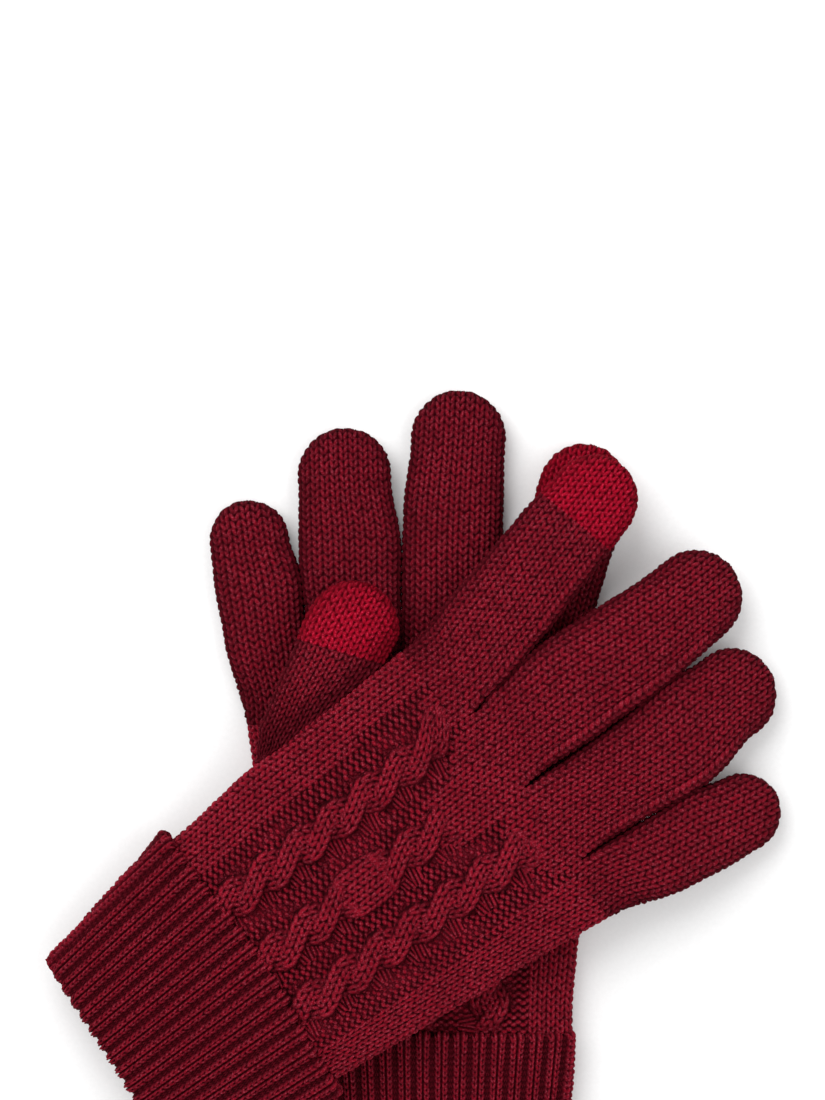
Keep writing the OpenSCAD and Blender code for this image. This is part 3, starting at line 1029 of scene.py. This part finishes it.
def wool(name, hollow, deep, lit, pale_fibre_and_highlight):
    """Heathered yarn: painted shade between the stitches and the lit colour on their tops, from each point's
    painted light value; paler fibres along the tops, real heather that is also a painted highlight; and
    slight patches.
    """
    material = bpy.data.materials.new(name)
    material.use_nodes = True
    nodes, links = material.node_tree.nodes, material.node_tree.links
    shader = nodes["Principled BSDF"]
    place = nodes.new("ShaderNodeTexCoord").outputs["Object"]
    painted_light = nodes.new("ShaderNodeAttribute")
    painted_light.attribute_name = "painted_light"
    tone = nodes.new("ShaderNodeAttribute")
    tone.attribute_name = "tone"
    # This colour ramp paints light and shade: the hollow colour is painted shade between the stitches, the
    # lit colour is the yarn's tops in light
    ramp_node = nodes.new("ShaderNodeValToRGB")
    ramp_node.color_ramp.elements[0].position = 0.05
    ramp_node.color_ramp.elements[0].color = (*hollow, 1)
    ramp_node.color_ramp.elements[1].position = 0.95
    ramp_node.color_ramp.elements[1].color = (*lit, 1)
    middle = ramp_node.color_ramp.elements.new(0.45)
    middle.color = (*deep, 1)
    links.new(painted_light.outputs["Fac"], ramp_node.inputs["Fac"])
    colour = ramp_node.outputs["Color"]
    fibres = noise(nodes, links, place, FIBRE_SCALE, 4, 0.7)
    shade = remap(nodes, links, tone.outputs["Fac"], 0, 0.6, 0.3, 0.0)
    colour = mix_colours(nodes, links, shade, colour, (*hollow, 1))
    # Paler fibres: real heather in the yarn, and also a painted highlight, as they show only on the lit tops
    # of the stitches
    fibre_highlight_share = remap(nodes, links, fibres, 0.5, 0.74, 0, 0.72)
    raised = remap(nodes, links, painted_light.outputs["Fac"], 0.25, 0.8, 0, 1)
    colour = mix_colours(nodes, links, multiplied(nodes, links, fibre_highlight_share, raised), colour, (*pale_fibre_and_highlight, 1))
    patches = remap(nodes, links, noise(nodes, links, place, PATCH_SCALE, 2), 0.35, 0.65, 0.0, 0.22)
    colour = mix_colours(nodes, links, patches, colour, scaled(deep, 0.8))
    links.new(colour, shader.inputs["Base Color"])
    links.new(remap(nodes, links, fibres, 0.3, 0.7, 0.72, 0.95), shader.inputs["Roughness"])
    shader.inputs["Specular IOR Level"].default_value = 0.05
    bump_node = nodes.new("ShaderNodeBump")
    bump_node.inputs["Strength"].default_value = 0.35
    bump_node.inputs["Distance"].default_value = FUZZ_HEIGHT
    links.new(noise(nodes, links, place, FUZZ_SCALE, 3), bump_node.inputs["Height"])
    links.new(bump_node.outputs["Normal"], shader.inputs["Normal"])
    return material


# ---- Both gloves ----


def world_point(x, y, z, on_top):
    if on_top:
        wx, wy = turned(x, y, RIGHT_TURN)
        return ((wx + RIGHT_SHIFT[0]) * MM, (wy + LEFT_WRIST[1] + RIGHT_SHIFT[1]) * MM, z * MM)
    return (-x * MM, (LEFT_WRIST[1] + y) * MM, z * MM)


def finish_piece(piece, material):
    piece.data.materials.append(material)


burgundy = wool(
    "burgundy_wool",
    hollow=(0.011, 0.0002, 0.001), deep=(0.078, 0.0008, 0.005),
    lit=(0.226, 0.0026, 0.0124), pale_fibre_and_highlight=(0.47, 0.082, 0.125),
)
touch_red = wool(
    "touch_red_yarn",
    hollow=(0.045, 0.0001, 0.002), deep=(0.165, 0.0002, 0.0065),
    lit=(0.36, 0.0003, 0.015), pale_fibre_and_highlight=(0.85, 0.05, 0.12),
)

for side, on_top in (("left", False), ("right", True)):
    finish_piece(make_hand(side, on_top), burgundy)
    finish_piece(make_cuff(side, on_top), burgundy)
    finish_piece(make_turnup(side, on_top), burgundy)
    for name, f in FINGERS.items():
        moved, *fuller = SPREAD[side][name]
        end = (f["end"][0] + moved[0], f["end"][1] + moved[1])
        f = dict(f, end=end, fuller=fuller, lip=LIP[name] * on_top)
        parts = make_finger(side, name, f, on_top, STALLS_FROM - ROOT_Y, STALLS_FROM / COURSE)
        x = f["root"][0]
        end = world_point(x, STALLS_FROM + BEND_LEN, GLOVE_T / 2, on_top)
        for i, piece in enumerate(parts):
            finish_piece(piece, touch_red if i else burgundy)
            if i:
                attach(piece, f"{side}_{name}_finger")
            else:
                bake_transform(piece)
    parts = make_finger(side, "thumb", THUMB, on_top, THUMB_START, THUMB_COURSE)
    end = world_point(SIDE_OF_HAND - THUMB_BEND_LEN, THUMB_BEND_AT, GLOVE_T / 2, on_top)
    for i, piece in enumerate(parts):
        finish_piece(piece, touch_red if i else burgundy)
        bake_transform(piece)

# ---- Table, light and camera, in metres ----

# Where both lights point, what the camera is over, how much it sees up and down there, and how high that is
LIT_PLACE = (0, 0.05, 0)
SEEN_MIDDLE = (-0.0047, 0.0866)
SEEN_HEIGHT = 0.2973
SEEN_LEVEL = 0.015
WORLD_POWER = 0.76


def make_floor():
    size = 1.6
    mesh = bpy.data.meshes.new("table_top")
    corners = [(-size, -size, 0), (size, -size, 0), (size, size, 0), (-size, size, 0)]
    mesh.from_pydata(corners, [], [(0, 1, 2, 3)])
    floor = bpy.data.objects.new("table_top", mesh)
    bpy.context.scene.collection.objects.link(floor)
    material = bpy.data.materials.new("white_paper")
    material.use_nodes = True
    nodes, links = material.node_tree.nodes, material.node_tree.links
    shader = nodes["Principled BSDF"]
    place = nodes.new("ShaderNodeTexCoord").outputs["Object"]
    grain = noise(nodes, links, place, PAPER_SCALE, 2)
    share = remap(nodes, links, grain, 0.3, 0.7, 0, 1)
    tint = mix_colours(nodes, links, share, (0.93, 0.93, 0.93, 1), (0.96, 0.96, 0.96, 1))
    links.new(tint, shader.inputs["Base Color"])
    shader.inputs["Roughness"].default_value = 0.9
    shader.inputs["Specular IOR Level"].default_value = 0.1
    mesh.materials.append(material)


def make_light(name, place, size, power):
    data = bpy.data.lights.new(name, "AREA")
    data.shape = "DISK"
    data.size = size
    data.energy = power
    light = bpy.data.objects.new(name, data)
    bpy.context.scene.collection.objects.link(light)
    light.location = place
    direction = np.array(LIT_PLACE) - np.array(place)
    light.rotation_euler = Vector(direction).to_track_quat("-Z", "Y").to_euler()


def make_camera():
    data = bpy.data.cameras.new("camera")
    data.lens = 110
    data.sensor_width = 36
    camera = bpy.data.objects.new("camera", data)
    bpy.context.scene.collection.objects.link(camera)
    camera.location = (*SEEN_MIDDLE, SEEN_HEIGHT * data.lens / data.sensor_width + SEEN_LEVEL)
    bpy.context.scene.camera = camera


def make_world():
    world = bpy.data.worlds.new("studio")
    world.use_nodes = True
    background = world.node_tree.nodes["Background"]
    background.inputs["Color"].default_value = (1, 1, 1, 1)
    background.inputs["Strength"].default_value = WORLD_POWER
    bpy.context.scene.world = world


make_floor()
make_light("key", place=(-0.45, 0.6, 0.75), size=1.0, power=8)
make_light("fill", place=(0.7, -0.1, 0.9), size=0.9, power=3)
make_world()
make_camera()
bpy.context.scene.view_settings.view_transform = "Standard"
